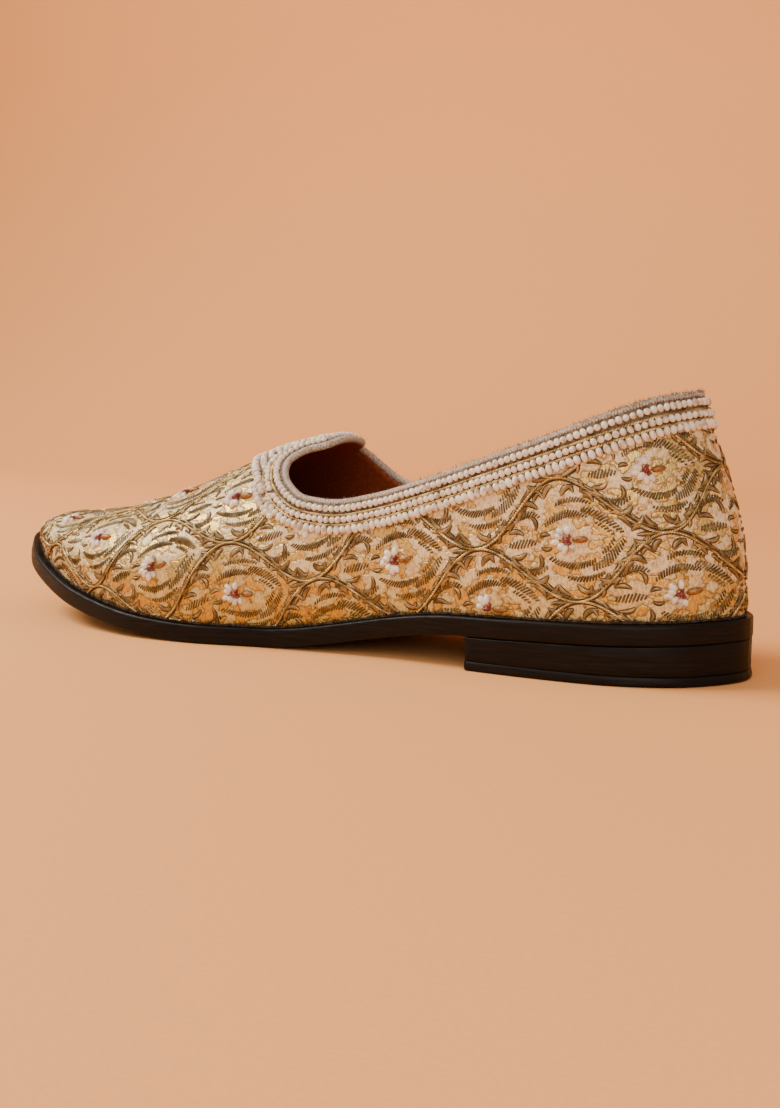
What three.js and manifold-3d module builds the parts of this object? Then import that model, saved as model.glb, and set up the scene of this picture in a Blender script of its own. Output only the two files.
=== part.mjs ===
// A low slip-on mojari shoe for the left foot, in millimetres.
// +X points to the toe, +Y to the outer side, +Z up. The shoe stands on the plane Z = 0.
// Stations are distances from the back of the heel, and the station CENTRE stands at X = 0.
import * as THREE from "three";
import { mergeVertices } from "three/addons/utils/BufferGeometryUtils.js";
import Module from "manifold-3d";

const wasm = await Module();
wasm.setup();

// ---- Driving sizes ---------------------------------------------------------------------------------

const LENGTH = 292.8; // outsole, heel to toe
const CENTRE = 145.25; // the station that stands at X = 0
const GAP = 0.3; // air between two pieces that touch
const SOLE_THICK = 6.2;
const WALL = 2.2; // brocade, padding and lining together
const INSOLE_THICK = 2.4;
const WELT_SHOW = 2.6; // how far the sole's edge stands out past the upper
const TRIM_THICK = 1.4;
const TRIM_AIR = 0.4;
const TRIM_WIDTH = 11.5;

const HEEL_LENGTH = 78; // heel's back to its breast
const HEEL_FRONT_HEIGHT = 10.4;
const HEEL_BACK_HEIGHT = 12.6;
const TOP_PIECE_THICK = 3;
const TREAD_FROM = 158; // the forefoot's flat spot
const TREAD_TO = 174;
const TOE_SPRING = 22.6;
const TOE_SPRING_POWER = 1.85;

const TONGUE_TIP = 143;
const TONGUE_HALF = 12.5;
const TONGUE_CORNER = 5; // rounding of the tip's two corners
const NOTCH_FRONT = 156.5;
const NOTCH_FILLET = 7; // radius in plan, where the tongue's side runs into the notch

// Sole outline: half-widths each side of the centre line.
const SOLE_COLUMNS = ["station", "outer", "inner"];
const SOLE_ROWS = [
  [3.5, 10.9, 10.9],
  [11.5, 20.6, 20.4],
  [26, 28.8, 28.2],
  [52, 33.0, 31.6],
  [83, 33.2, 29.4],
  [115, 31.8, 27.0],
  [150, 36.2, 33.4],
  [184, 44.3, 43.6],
  [213, 45.1, 46.0],
  [239, 39.7, 41.8],
  [260, 30.9, 33.2],
  [275.4, 21.9, 23.6],
  [286, 12.4, 13.2],
];

// Last sections: how high the ridge stands, how far the sides swell past the feather edge, how high that
// fullest line lies (a share of the section's height), and the roundness of the section above it.
const LAST_COLUMNS = ["station", "ridge", "swell", "fullest", "roundness"];
const LAST_ROWS = [
  [0, 112, 0.0, 0.2, 2.6],
  [25, 112, 0.8, 0.2, 2.6],
  [60, 106, 1.2, 0.2, 2.3],
  [90, 92, 1.6, 0.22, 2.05],
  [115, 79.5, 2.0, 0.24, 2.0],
  [137, 69.6, 2.6, 0.26, 2.2],
  [150, 68.0, 2.5, 0.27, 2.05],
  [163, 65.4, 2.4, 0.28, 1.85],
  [176, 61.2, 2.1, 0.28, 1.8],
  [190, 55.9, 1.8, 0.28, 1.8],
  [215, 46.7, 1.4, 0.3, 1.95],
  [240, 40.4, 1.0, 0.32, 2.1],
  [262, 37.2, 0.5, 0.34, 2.2],
];
const TOE_ROUND_FROM = 264; // past here the ridge comes down in a quarter ellipse
const LAST_BACK = 2.4; // the feather edge's first and last stations
const LAST_FRONT = 290.6;

// Back curve: how far the heel's back leans forward, at a height above the floor.
const BACK_COLUMNS = ["height", "lean"];
const BACK_ROWS = [
  [15, 0.6],
  [24, -0.4],
  [30, -0.1],
  [42, 1.1],
  [55, 4.7],
  [68, 9.8],
  [80, 14.4],
  [90, 17.6],
  [115, 23],
];
const LEAN_REACH = 86; // the lean has faded out at this station

// Topline of each quarter, seen from the side. The inner quarter starts to climb to the tongue sooner.
const TOPLINE_COLUMNS = ["station", "height"];
const TOPLINE_OUTER_ROWS = [
  [-30, 87.5],
  [6, 86.4],
  [16, 85.0],
  [24, 83.1],
  [31, 80.5],
  [48, 73.9],
  [77, 63.8],
  [98, 56.8],
  [116, 51.8],
  [130, 49.5],
  [141, 50.4],
  [148, 53.6],
  [152, 56.4],
  [155, 59.6],
  [NOTCH_FRONT, 62.5],
];
const TOPLINE_INNER_ROWS = [
  [-30, 87.5],
  [6, 86.4],
  [16, 85.0],
  [24, 83.1],
  [31, 80.5],
  [48, 73.9],
  [77, 64.0],
  [98, 57.2],
  [114, 53.0],
  [127, 51.5],
  [134, 52.2],
  [139, 54.4],
  [143, 58.4],
  [146, 63.0],
  [148, 67],
];

// Front edge of the trim over the instep, in plan: how wide it still is at each station.
const TRIM_FRONT_COLUMNS = ["station", "half"];
const TRIM_FRONT_ROWS = [
  [156, 31],
  [161, 28],
  [168.5, 21],
  [174, 13.5],
  [178, 6.5],
  [179.5, 2],
];

const COLOURS = {
  brocade: 0xc2a268,
  trim: 0xe6dccb,
  sole: 0x17120f,
  insole: 0x2a1712,
};

// ---- Tables and curves -----------------------------------------------------------------------------

// Smooth monotone interpolation (Fritsch-Carlson) down one named column of a table.
function column(columns, rows, name) {
  const k = columns.indexOf(name);
  const x = rows.map((row) => row[0]);
  const y = rows.map((row) => row[k]);
  const n = x.length;
  const step = (i) => x[i + 1] - x[i];
  const slope = (i) => (y[i + 1] - y[i]) / step(i);
  const m = y.map((_, i) => {
    if (i === 0) return slope(0);
    if (i === n - 1) return slope(n - 2);
    const a = slope(i - 1);
    const b = slope(i);
    if (a * b <= 0) return 0;
    const wa = 2 * step(i) + step(i - 1);
    const wb = step(i) + 2 * step(i - 1);
    return (wa + wb) / (wa / a + wb / b);
  });
  return (at) => {
    const q = Math.min(Math.max(at, x[0]), x[n - 1]);
    let i = 0;
    while (i < n - 2 && q > x[i + 1]) i += 1;
    const h = step(i);
    const t = (q - x[i]) / h;
    const t2 = t * t;
    const t3 = t2 * t;
    return (
      y[i] * (2 * t3 - 3 * t2 + 1) +
      m[i] * h * (t3 - 2 * t2 + t) +
      y[i + 1] * (3 * t2 - 2 * t3) +
      m[i + 1] * h * (t3 - t2)
    );
  };
}

// A half-width that closes in a round end at both ends: the table gives width over sqrt(u(1-u)).
function roundEnded(name, from, to, less) {
  const ends = (s) => Math.sqrt(Math.max((s / LENGTH) * (1 - s / LENGTH), 0));
  const rows = SOLE_ROWS.map((row) => [row[0], row[SOLE_COLUMNS.indexOf(name)] / ends(row[0])]);
  const full = column(["station", "share"], rows, "share");
  return (s) => {
    const u = Math.min(Math.max((s - from) / (to - from), 0), 1);
    const width = full(u * LENGTH) * Math.sqrt(u * (1 - u));
    return Math.max(width - less * Math.min(1, width / 12), 0);
  };
}

const smooth = (t) => {
  const c = Math.min(Math.max(t, 0), 1);
  return c * c * (3 - 2 * c);
};

// ---- Sole plane ------------------------------------------------------------------------------------

// Height of the outsole's underside: heel seat, rising waist, flat tread, toe spring.
function undersideAt(s) {
  if (s <= HEEL_LENGTH) {
    return HEEL_BACK_HEIGHT + (HEEL_FRONT_HEIGHT - HEEL_BACK_HEIGHT) * Math.max(s / HEEL_LENGTH, 0);
  }
  if (s < TREAD_FROM) return HEEL_FRONT_HEIGHT * smooth((TREAD_FROM - s) / (TREAD_FROM - HEEL_LENGTH));
  if (s <= TREAD_TO) return 0;
  return TOE_SPRING * Math.pow((s - TREAD_TO) / (LENGTH - TREAD_TO), TOE_SPRING_POWER);
}

// The point a given height above the underside, square to the sole, so the edge leans back at the toe.
function aboveSole(s, height) {
  const rise = (undersideAt(s + 0.5) - undersideAt(s - 0.5)) * (s > HEEL_LENGTH + 0.5 ? 1 : 0);
  const long = Math.hypot(1, rise);
  return { x: s - (height * rise) / long, z: undersideAt(s) + height / long };
}

// ---- Mesh helpers ----------------------------------------------------------------------------------

// A closed solid from a grid of rings: every ring is a loop, and the first and last are closed by rungs
// from one side of the ring to the other.
function solidFromRings(rings) {
  const size = rings[0].length;
  const points = rings.flat();
  const faces = [];
  for (let r = 0; r + 1 < rings.length; r += 1) {
    for (let c = 0; c < size; c += 1) {
      const a = r * size + c;
      const b = r * size + ((c + 1) % size);
      faces.push([a, b, b + size], [a, b + size, a + size]);
    }
  }
  const last = (rings.length - 1) * size;
  for (let c = 0; c + 1 < size - 1 - c; c += 1) {
    const far = size - 1 - c;
    faces.push([c, far, c + 1], [last + c, last + c + 1, last + far]);
    if (c + 1 < far - 1) {
      faces.push([c + 1, far, far - 1], [last + c + 1, last + far - 1, last + far]);
    }
  }
  const g = new THREE.BufferGeometry();
  g.setAttribute("position", new THREE.Float32BufferAttribute(points.flat(), 3));
  g.setIndex(faces.flat());
  return toManifold(g);
}

function toManifold(geometry) {
  const g = geometry.clone();
  g.deleteAttribute("normal");
  g.deleteAttribute("uv");
  const merged = mergeVertices(g, 1e-3);
  const kept = [];
  const index = merged.index.array;
  for (let i = 0; i < index.length; i += 3) {
    const [a, b, c] = [index[i], index[i + 1], index[i + 2]];
    if (a !== b && b !== c && a !== c) kept.push(a, b, c);
  }
  const mesh = new wasm.Mesh({
    numProp: 3,
    vertProperties: merged.attributes.position.array,
    triVerts: new Uint32Array(kept),
  });
  return new wasm.Manifold(mesh);
}

function toGeometry(solid) {
  const m = solid.getMesh();
  const g = new THREE.BufferGeometry();
  g.setAttribute("position", new THREE.Float32BufferAttribute(m.vertProperties, 3));
  g.setIndex(new THREE.BufferAttribute(m.triVerts, 1));
  g.computeVertexNormals();
  return g;
}

// Stations from one end to the other, close together at both round ends.
function stations(count, from, to) {
  return Array.from({ length: count + 1 }, (_, i) => {
    const t = (1 - Math.cos((Math.PI * i) / count)) / 2;
    return from + (to - from) * (0.72 * t + 0.28 * (i / count));
  });
}

// ---- Sole, heel and insole -------------------------------------------------------------------------

const EDGE_BREAK = 0.9; // small bevel along the sole's lower edge
const END_ROUND = 0.02; // first and last stations stop just short of the point

// A plate that follows the sole: two half-width functions, and the layers as [height, inset].
function plate(outer, inner, list, layers) {
  const rings = list.map((s) => {
    const corner = (side, [height, inset]) => {
      const p = aboveSole(s, height);
      const full = side > 0 ? outer(s) : inner(s);
      return [p.x, side * Math.max(full - inset, 0.05), p.z];
    };
    const up = layers.map((layer) => corner(1, layer));
    const down = [...layers].reverse().map((layer) => corner(-1, layer));
    return [...up, ...down];
  });
  return solidFromRings(rings);
}

const soleOuter = roundEnded("outer", 0, LENGTH, 0);
const soleInner = roundEnded("inner", 0, LENGTH, 0);

function makeOutsole() {
  const list = stations(72, END_ROUND, LENGTH - END_ROUND);
  const layers = [
    [0, EDGE_BREAK],
    [EDGE_BREAK, 0],
    [SOLE_THICK - 0.6, 0],
    [SOLE_THICK, 0.6],
  ];
  return plate(soleOuter, soleInner, list, layers);
}

// The heel's plan is the sole's own, cut square at the breast. Each layer runs between two heights.
function heelLayer(bottomOf, topOf, inset) {
  const rings = stations(40, END_ROUND, 2 * HEEL_LENGTH)
    .filter((s) => s < HEEL_LENGTH - 1)
    .concat([HEEL_LENGTH])
    .map((s) => {
      const a = Math.max(soleOuter(s) - inset, 0.05);
      const b = Math.max(soleInner(s) - inset, 0.05);
      const [low, high] = [bottomOf(s), topOf(s)];
      return [
        [s, a, low],
        [s, a, high],
        [s, -b, high],
        [s, -b, low],
      ];
    });
  return solidFromRings(rings);
}

const makeHeel = () =>
  heelLayer(
    () => TOP_PIECE_THICK + GAP,
    (s) => undersideAt(s) - GAP,
    0.5,
  );

const makeTopPiece = () =>
  heelLayer(
    () => 0,
    () => TOP_PIECE_THICK,
    0,
  );

// ---- Last and upper --------------------------------------------------------------------------------

const lastOuter = roundEnded("outer", LAST_BACK, LAST_FRONT, WELT_SHOW);
const lastInner = roundEnded("inner", LAST_BACK, LAST_FRONT, WELT_SHOW);
const ridgeAt = column(LAST_COLUMNS, LAST_ROWS, "ridge");
const swellAt = column(LAST_COLUMNS, LAST_ROWS, "swell");
const fullestAt = column(LAST_COLUMNS, LAST_ROWS, "fullest");
const roundnessAt = column(LAST_COLUMNS, LAST_ROWS, "roundness");
const leanAt = column(BACK_COLUMNS, BACK_ROWS, "lean");
const BASE = SOLE_THICK + GAP; // the upper's lower rim above the sole's underside

// A point on the last: a station, a share of the way from the feather edge (0) up to the ridge (1), and the
// side, outer (1) or inner (-1). Offset grows the form outwards, or shrinks it where it is negative.
const LOWER_SHARE = 0.3; // up to here the side only runs out to its fullest line

function onLast(s, share, side, offset) {
  const near = (s - LAST_BACK) / (LAST_FRONT - LAST_BACK);
  const ends = Math.min(1, Math.sqrt(Math.max(near * (1 - near), 0)) * 8);
  const half = (side > 0 ? lastOuter : lastInner)(s);
  const foot = aboveSole(s, BASE);
  const past = Math.max(s - TOE_ROUND_FROM, 0) / (LAST_FRONT - TOE_ROUND_FROM);
  const high = (ridgeAt(s) - foot.z) * Math.sqrt(Math.max(1 - Math.pow(past, 2.2), 0));
  const fullest = fullestAt(s) * high;
  const widest = half + swellAt(s) * ends;
  let y;
  let z;
  if (share < LOWER_SHARE) {
    const t = share / LOWER_SHARE;
    y = half + (widest - half) * Math.sin((t * Math.PI) / 2);
    z = fullest * t;
  } else {
    const turn = ((share - LOWER_SHARE) / (1 - LOWER_SHARE)) * (Math.PI / 2);
    const power = 2 / roundnessAt(s);
    y = widest * Math.pow(Math.max(Math.cos(turn), 0), power);
    z = fullest + (high - fullest) * Math.pow(Math.sin(turn), power);
  }
  const grow = offset * ends;
  const across = side * Math.max(y + grow * Math.min(1, y / Math.max(widest * 0.7, 0.01)), 0);
  const height = foot.z + z + grow * Math.pow(z / Math.max(high, 0.01), 1.5);
  const lean = leanAt(height) * Math.pow(Math.max(1 - s / LEAN_REACH, 0), 2);
  const along = offset * (2 * near - 1) * Math.pow(Math.abs(2 * near - 1), 6);
  return [foot.x + lean + along, across, height];
}

const LAST_STEPS = 46; // stations
const ROUND_STEPS = 17; // points from feather edge to ridge

// The last as a closed solid, grown or shrunk by an offset. Drop carries its foot straight down.
function lastForm(offset, drop) {
  const list = stations(LAST_STEPS, LAST_BACK + END_ROUND, LAST_FRONT - END_ROUND);
  const rings = list.map((s) => {
    const half = (side) =>
      Array.from({ length: ROUND_STEPS }, (_, i) => onLast(s, i / ROUND_STEPS, side, offset));
    const lower = ([x, y, z]) => [x, y, z - drop];
    const ring = [...half(1), onLast(s, 1, 1, offset), ...half(-1).reverse()];
    return drop > 0 ? [lower(ring[0]), ...ring, lower(ring[ring.length - 1])] : ring;
  });
  return solidFromRings(rings);
}

// ---- Opening and trim ------------------------------------------------------------------------------

const REACH = 80; // cutters reach this far to each side
const ABOVE = 140;

function extruded(points, depth) {
  const shape = new THREE.Shape(points.map(([x, y]) => new THREE.Vector2(x, y)));
  return new THREE.ExtrudeGeometry(shape, { depth, bevelEnabled: false, steps: 1 });
}

// Everything above one quarter's topline, moved outwards from the edge by a width.
function aboveTopline(rows, side, width) {
  const heightAt = column(TOPLINE_COLUMNS, rows, "height");
  const from = rows[0][0];
  const to = rows[rows.length - 1][0];
  const count = 64;
  const line = Array.from({ length: count + 1 }, (_, i) => {
    const s = from + (to - from) * (i / count);
    const rise = (heightAt(s + 0.4) - heightAt(s - 0.4)) / (Math.min(s + 0.4, to) - Math.max(s - 0.4, from));
    const long = Math.hypot(1, rise);
    return [s + (width * rise) / long, heightAt(s) - width / long];
  });
  const end = line[line.length - 1];
  const front = [to + width, end[1] + 2];
  const profile = [...line, front, [front[0], ABOVE], [from, ABOVE]];
  const g = extruded(profile, REACH);
  const turned = new THREE.Matrix4().makeBasis(
    new THREE.Vector3(1, 0, 0),
    new THREE.Vector3(0, 0, 1),
    new THREE.Vector3(0, -1, 0),
  );
  g.applyMatrix4(turned);
  g.translate(0, side > 0 ? REACH : 0, 0);
  return toManifold(g);
}

// The tongue's plan, kept out of the opening: rounded at its tip, filleted into the notch at its root.
function tonguePlan() {
  const halfAt = (s) => {
    const tip = s - TONGUE_TIP;
    const root = s - (NOTCH_FRONT - NOTCH_FILLET);
    let half = TONGUE_HALF;
    if (tip < TONGUE_CORNER) {
      half -= TONGUE_CORNER - Math.sqrt(Math.max(TONGUE_CORNER ** 2 - (TONGUE_CORNER - tip) ** 2, 0));
    }
    if (root > 0) half += NOTCH_FILLET - Math.sqrt(Math.max(NOTCH_FILLET ** 2 - root ** 2, 0));
    return half;
  };
  const list = [0, 0.35, 1.3, 2.8, 5, 6.6, 8.4, 10, 11.4, 12.5, 13.2, 13.5].map((d) => TONGUE_TIP + d);
  const up = list.map((s) => [s, halfAt(s)]);
  const end = NOTCH_FRONT + 30;
  const down = [...up].reverse().map(([s, y]) => [s, -y]);
  const widest = up[up.length - 1][1];
  return [...up, [end, widest], [end, -widest], ...down];
}

function makeOpening() {
  const quarters = aboveTopline(TOPLINE_OUTER_ROWS, 1, 0).add(aboveTopline(TOPLINE_INNER_ROWS, -1, 0));
  return quarters.subtract(toManifold(extruded(tonguePlan(), ABOVE)));
}

function makeTrimZone(opening) {
  const outer = aboveTopline(TOPLINE_OUTER_ROWS, 1, TRIM_WIDTH);
  const inner = aboveTopline(TOPLINE_INNER_ROWS, -1, TRIM_WIDTH);
  const halfAt = column(TRIM_FRONT_COLUMNS, TRIM_FRONT_ROWS, "half");
  const from = TRIM_FRONT_ROWS[0][0];
  const to = TRIM_FRONT_ROWS[TRIM_FRONT_ROWS.length - 1][0];
  const edge = Array.from({ length: 15 }, (_, i) => from + ((to - from) * i) / 14);
  const up = edge.map((s) => [s, halfAt(s)]);
  const down = [...up].reverse().map(([s, y]) => [s, -y]);
  const start = TONGUE_TIP - 4;
  const arch = toManifold(extruded([[start, 31], ...up, ...down, [start, -31]].reverse(), ABOVE));
  const crown = toManifold(new THREE.BoxGeometry(60, 2 * REACH, ABOVE).translate(start + 30, 0, ABOVE / 2 + 42));
  const quarters = outer.add(inner).subtract(
    toManifold(new THREE.BoxGeometry(60, 2 * REACH, ABOVE).translate(from + 30, 0, ABOVE / 2)),
  );
  return quarters.add(arch.intersect(crown)).subtract(opening);
}

// ---- Assembly --------------------------------------------------------------------------------------

function largestPiece(solid) {
  const parts = solid.decompose();
  return parts.reduce((best, part) => (part.volume() > best.volume() ? part : best));
}

const opening = makeOpening();
const upperSolid = largestPiece(lastForm(0, 0).subtract(lastForm(-WALL, 3)).subtract(opening));
const trimSkin = lastForm(TRIM_AIR + TRIM_THICK, 0).subtract(lastForm(TRIM_AIR, 3));
const trimSolid = largestPiece(trimSkin.intersect(makeTrimZone(opening)));

// The insole lies inside the upper's foot and stops short of the toe with a round end.
const INSOLE_AIR = 1.4;
const INSOLE_FRONT = 276;
const INSOLE_ROUND = 15;

function makeInsole() {
  const inset = WALL + INSOLE_AIR;
  const from = LAST_BACK + inset;
  const within = (half) => (s) => {
    const past = Math.max(s - (INSOLE_FRONT - INSOLE_ROUND), 0) / INSOLE_ROUND;
    const back = inset * (1 - smooth((s - from) / 50));
    const inside = half(s - back) - inset * smooth((s - from) / 14);
    return Math.max(inside, 0) * Math.sqrt(Math.max(1 - past * past, 0));
  };
  const base = SOLE_THICK + GAP;
  return plate(within(lastOuter), within(lastInner), stations(48, from, INSOLE_FRONT - END_ROUND), [
    [base, 0],
    [base + INSOLE_THICK, 0.5],
  ]);
}

function piece(name, geometry, colour, roughness) {
  const material = new THREE.MeshStandardMaterial({ color: colour, roughness, metalness: 0 });
  material.name = name;
  const mesh = new THREE.Mesh(geometry, material);
  mesh.name = name;
  return mesh;
}

const shoe = new THREE.Group();
shoe.name = "mojari";
shoe.add(
  piece("outsole", toGeometry(makeOutsole()), COLOURS.sole, 0.45),
  piece("heel", toGeometry(makeHeel()), COLOURS.sole, 0.45),
  piece("heel_top_piece", toGeometry(makeTopPiece()), COLOURS.sole, 0.6),
  piece("insole", toGeometry(makeInsole()), COLOURS.insole, 0.8),
  piece("upper", toGeometry(upperSolid), COLOURS.brocade, 0.5),
  piece("collar_trim", toGeometry(trimSolid), COLOURS.trim, 0.7),
);
for (const mesh of shoe.children) {
  mesh.geometry.translate(-CENTRE, 0, 0);
}

export default shoe;
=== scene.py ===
import bpy
import numpy as np
from mathutils.kdtree import KDTree
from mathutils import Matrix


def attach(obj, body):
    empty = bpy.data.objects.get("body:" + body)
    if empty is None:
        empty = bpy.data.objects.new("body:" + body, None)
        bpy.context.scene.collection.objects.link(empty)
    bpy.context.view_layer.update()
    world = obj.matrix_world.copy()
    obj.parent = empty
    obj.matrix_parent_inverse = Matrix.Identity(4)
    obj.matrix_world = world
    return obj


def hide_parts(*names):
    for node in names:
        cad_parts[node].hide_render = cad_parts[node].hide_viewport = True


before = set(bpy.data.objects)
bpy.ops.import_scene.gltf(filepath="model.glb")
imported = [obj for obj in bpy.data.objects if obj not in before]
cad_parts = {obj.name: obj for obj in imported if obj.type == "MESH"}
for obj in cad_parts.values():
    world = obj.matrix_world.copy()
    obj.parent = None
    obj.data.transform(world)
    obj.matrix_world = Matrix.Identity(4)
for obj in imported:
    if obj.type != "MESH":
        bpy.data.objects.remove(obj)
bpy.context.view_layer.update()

# ------------------------------------------------------------
# Camera: a near view from behind the heel's outer side, a little above it, with a short telephoto
# lens. It stands less than half a metre off, so the heel looks large and the toe recedes.

camera_data = bpy.data.cameras.new("camera")
camera_data.lens = 48.5
camera_data.sensor_width = 36
camera_data.shift_x = 0.0023
camera_data.clip_start = 0.01
camera = bpy.data.objects.new("camera", camera_data)
camera.location = (-0.2926, 0.4227, 0.0905)
camera.rotation_euler = (np.pi / 2 - 0.12072, 0, np.pi + 0.57673)
bpy.context.collection.objects.link(camera)
bpy.context.scene.camera = camera

# ------------------------------------------------------------
# Floor and backdrop: one plain sheet of peach paper, flat under the shoe and swept up behind it.

MM = 0.001


def add_mesh(name, points, faces, material, smooth=True):
    """A mesh object from points in millimetres and quads or triangles, left at the origin."""
    points = np.asarray(points, float).reshape(-1, 3) * MM
    faces = np.asarray(faces, np.int32)
    data = bpy.data.meshes.new(name)
    sides = faces.shape[1]
    data.vertices.add(len(points))
    data.vertices.foreach_set("co", points.ravel())
    data.loops.add(faces.size)
    data.loops.foreach_set("vertex_index", faces.ravel())
    data.polygons.add(len(faces))
    data.polygons.foreach_set("loop_start", np.arange(len(faces), dtype=np.int32) * sides)
    data.polygons.foreach_set("use_smooth", np.full(len(faces), smooth))
    data.update(calc_edges=True)
    data.validate()
    thing = bpy.data.objects.new(name, data)
    bpy.context.collection.objects.link(thing)
    data.materials.append(material)
    return thing


def grid_faces(rows, columns, wrap=False):
    """Quads of a rows by columns grid of points. With wrap the last column joins the first."""
    r = np.arange(rows - 1)[:, None]
    c = np.arange(columns if wrap else columns - 1)[None, :]
    d = (c + 1) % columns
    here, next_row = r * columns, (r + 1) * columns
    return np.stack([here + c, here + d, next_row + d, next_row + c], -1).reshape(-1, 4)


def new_material(name, colour, roughness, metallic):
    """A Principled material, with its nodes, its links and its shader."""
    material = bpy.data.materials.new(name)
    material.use_nodes = True
    nodes, links = material.node_tree.nodes, material.node_tree.links
    shader = nodes["Principled BSDF"]
    shader.inputs["Base Color"].default_value = (*colour, 1)
    shader.inputs["Roughness"].default_value = roughness
    shader.inputs["Metallic"].default_value = metallic
    return material, nodes, links, shader


def noise(nodes, links, scale, detail, stretch=(1, 1, 1)):
    """The value of a noise texture on the object's own coordinates, stretched along its axes."""
    place = nodes.new("ShaderNodeTexCoord")
    mapping = nodes.new("ShaderNodeMapping")
    mapping.inputs["Scale"].default_value = stretch
    texture = nodes.new("ShaderNodeTexNoise")
    texture.inputs["Scale"].default_value = scale
    texture.inputs["Detail"].default_value = detail
    links.new(place.outputs["Object"], mapping.inputs["Vector"])
    links.new(mapping.outputs["Vector"], texture.inputs["Vector"])
    return texture.outputs["Fac"]


def colour_ramp(nodes, links, source, stops):
    """Colours by value: stops are pairs of a place from 0 to 1 and a colour."""
    ramp = nodes.new("ShaderNodeValToRGB")
    while len(ramp.color_ramp.elements) < len(stops):
        ramp.color_ramp.elements.new(0.5)
    for element, (place, colour) in zip(ramp.color_ramp.elements, stops):
        element.position = place
        element.color = (*colour, 1)
    links.new(source, ramp.inputs["Fac"])
    return ramp.outputs["Color"]


def spotted(name, colour, roughness, metallic, scale, detail, stops, stretch=(1, 1, 1)):
    """A material coloured by a noise through a ramp: the material, its parts and the noise's value."""
    material, nodes, links, shader = new_material(name, colour, roughness, metallic)
    spots = noise(nodes, links, scale, detail, stretch)
    links.new(colour_ramp(nodes, links, spots, stops), shader.inputs["Base Color"])
    return material, nodes, links, shader, spots


def add_bump(nodes, links, shader, height, strength, distance):
    """A bump of a given distance, in metres, from a value that goes from 0 to 1."""
    bump = nodes.new("ShaderNodeBump")
    bump.inputs["Strength"].default_value = strength
    bump.inputs["Distance"].default_value = distance
    links.new(height, bump.inputs["Height"])
    links.new(bump.outputs["Normal"], shader.inputs["Normal"])


paper, nodes, links, shader, spots = spotted("paper", (0.88, 0.41, 0.142), 0.85, 0, 900, 3, [
    (0.3, (0.86, 0.397, 0.134)), (0.7, (0.90, 0.427, 0.150))])
shader.inputs["Specular IOR Level"].default_value = 0.2

front_at, back_at, sweep, top_at, below_floor = 1500.0, -1100.0, 500.0, 1600.0, 0.05
bend = np.linspace(0, np.pi / 2, 24)
floor_y = np.concatenate([[front_at], back_at + sweep - sweep * np.sin(bend), [back_at]])
floor_z = np.concatenate([[0], sweep - sweep * np.cos(bend), [top_at]]) - below_floor
floor_x = np.array([-2200.0, 2200.0])
floor_points = np.stack(np.broadcast_arrays(floor_x, floor_y[:, None], floor_z[:, None]), -1)
floor = add_mesh("floor", floor_points, grid_faces(len(floor_y), 2), paper)

# ------------------------------------------------------------
# Light: a large soft box overhead towards the toe, a weak one from the heel, and a warm room.

world = bpy.data.worlds.new("room")
world.use_nodes = True
world.node_tree.nodes["Background"].inputs["Color"].default_value = (1.0, 0.83, 0.70, 1)
world.node_tree.nodes["Background"].inputs["Strength"].default_value = 0.62
bpy.context.scene.world = world


def soft_box(name, place, aim, size, power, colour):
    """A square area light at a place, turned to face a point, both in metres."""
    data = bpy.data.lights.new(name, "AREA")
    data.size = size
    data.energy = power
    data.color = colour
    lamp = bpy.data.objects.new(name, data)
    lamp.location = place
    back = np.array(place, float) - np.array(aim, float)
    flat = float(np.hypot(back[0], back[1]))
    lamp.rotation_euler = (float(np.arctan2(flat, back[2])), 0, float(np.arctan2(back[0], -back[1])))
    bpy.context.collection.objects.link(lamp)


soft_box("key", (1.05, 0.38, 1.15), (0.04, 0, 0.03), 0.7, 32, (1.0, 0.93, 0.84))
soft_box("fill", (-0.5, 1.0, 0.6), (0.02, 0, 0.04), 0.8, 7, (1.0, 0.93, 0.86))

# ------------------------------------------------------------
# Sizes and section tables shared by the sole and the upper, in millimetres. Stations run from the back
# of the heel to the toe, and X is a station less CENTRE.

LENGTH, CENTRE = 292.8, 145.25
AIR = 0.3
SOLE_THICK = 6.2
HEEL_LENGTH = 78.0
HEEL_FRONT_HEIGHT, HEEL_BACK_HEIGHT = 10.4, 12.6
TREAD_FROM, TREAD_TO = 158.0, 174.0
TOE_SPRING, TOE_SPRING_POWER = 22.6, 1.85

# columns: station, outer half-width, inner half-width
SOLE_ROWS = np.array([
    [3.5, 10.9, 10.9],
    [11.5, 20.6, 20.4],
    [26, 28.8, 28.2],
    [52, 33.0, 31.6],
    [83, 33.2, 29.4],
    [115, 31.8, 27.0],
    [150, 36.2, 33.4],
    [184, 44.3, 43.6],
    [213, 45.1, 46.0],
    [239, 39.7, 41.8],
    [260, 30.9, 33.2],
    [275.4, 21.9, 23.6],
    [286, 12.4, 13.2],
])


def monotone(x, y):
    """A smooth curve through the points that never overshoots them (Fritsch-Carlson slopes)."""
    x, y = np.asarray(x, float), np.asarray(y, float)
    h = np.diff(x)
    d = np.diff(y) / h
    m = np.concatenate([[d[0]], np.zeros(len(x) - 2), [d[-1]]])
    wa, wb = 2 * h[1:] + h[:-1], h[1:] + 2 * h[:-1]
    same = d[:-1] * d[1:] > 0
    safe = np.where(same, d[:-1], 1), np.where(same, d[1:], 1)
    m[1:-1] = np.where(same, (wa + wb) / (wa / safe[0] + wb / safe[1]), 0)

    def curve(at):
        q = np.clip(at, x[0], x[-1])
        i = np.clip(np.searchsorted(x, q, side="right") - 1, 0, len(x) - 2)
        t = (q - x[i]) / h[i]
        return (
            y[i] * (2 * t**3 - 3 * t**2 + 1)
            + m[i] * h[i] * (t**3 - 2 * t**2 + t)
            + y[i + 1] * (3 * t**2 - 2 * t**3)
            + m[i + 1] * h[i] * (t**3 - t**2)
        )

    return curve


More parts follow.
